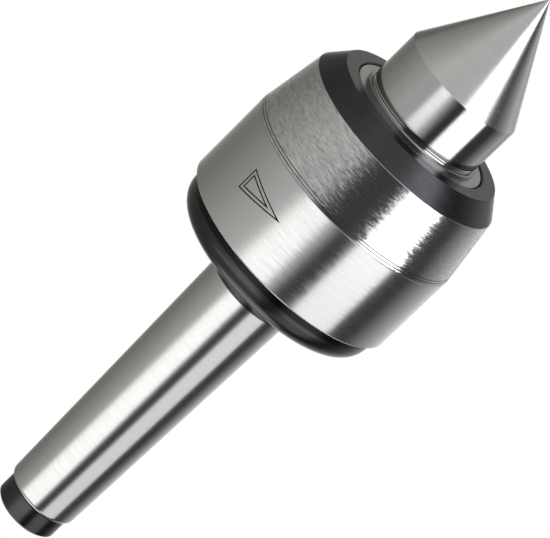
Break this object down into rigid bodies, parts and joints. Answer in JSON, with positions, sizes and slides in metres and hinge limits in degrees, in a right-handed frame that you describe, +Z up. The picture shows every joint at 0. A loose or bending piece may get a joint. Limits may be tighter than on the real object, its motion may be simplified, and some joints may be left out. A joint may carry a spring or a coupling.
{
  "type": "rotating lathe center",
  "caption": "Live center for a lathe tailstock: a ground 60 degree point turning on bearings in a steel body on a Morse taper shank.",
  "frame": {"origin": "on the axis of rotation, at the gauge plane of the taper shank", "axes": "+X along the axis towards the point, as it sits in a tailstock; +Z up"},
  "size_m": [0.1425, 0.0472, 0.0472],
  "materials": {
    "black_oxide_steel": "black oxide, satin, with the taper ground bright",
    "ground_steel": "ground, satin",
    "turned_steel": "turned, coarse rings, with a blackened bevel",
    "hardened_steel": "hardened and fine ground, near polished",
    "plated_steel": "zinc grey, satin, faced in fine rings",
    "bearing_steel": "polished",
    "pressed_steel": "pressed sheet",
    "spring_steel": "blued",
    "cage_brass": "turned",
    "seal_rubber": "matt",
    "felt": "oiled wool felt"
  },
  "bodies": {
    "body": {"shank": "black_oxide_steel", "bearing_housing": "ground_steel", "nose_cap": "turned_steel", "cap_seal_ring": "seal_rubber", "felt_seal": "felt", "preload_spring": "spring_steel", "front_outer_race": "bearing_steel", "front_shield": "plated_steel", "rear_shield": "plated_steel", "thrust_housing_washer": "bearing_steel", "needle_cup": "pressed_steel"},
    "spindle": {"point_spindle": "hardened_steel", "dust_cover": "plated_steel", "front_inner_race": "bearing_steel", "retaining_clip": "spring_steel", "spacer_sleeve": "ground_steel", "thrust_shaft_washer": "bearing_steel"},
    "front_balls": {"front_ball_set": "bearing_steel", "front_cage_half": "pressed_steel", "rear_cage_half": "pressed_steel", "cage_rivets": "pressed_steel"},
    "thrust_balls": {"thrust_ball_set": "bearing_steel", "thrust_cage": "cage_brass"},
    "needles": {"needle_rollers": "bearing_steel", "needle_cage": "pressed_steel"}
  },
  "joints": [
    {"name": "point_spin", "type": "hinge", "parent": "body", "child": "spindle", "pos_m": [0, 0, 0], "axis": [1, 0, 0], "continuous": true},
    {"name": "front_balls_orbit", "type": "hinge", "parent": "body", "child": "front_balls", "pos_m": [0, 0, 0], "axis": [1, 0, 0], "continuous": true},
    {"name": "thrust_balls_orbit", "type": "hinge", "parent": "body", "child": "thrust_balls", "pos_m": [0, 0, 0], "axis": [1, 0, 0], "continuous": true},
    {"name": "needles_orbit", "type": "hinge", "parent": "body", "child": "needles", "pos_m": [0, 0, 0], "axis": [1, 0, 0], "continuous": true}
  ],
  "couplings": [
    {"joint": "front_balls_orbit", "follows": "point_spin", "ratio": 0.40846},
    {"joint": "thrust_balls_orbit", "follows": "point_spin", "ratio": 0.5},
    {"joint": "needles_orbit", "follows": "point_spin", "ratio": 0.44444}
  ]
}
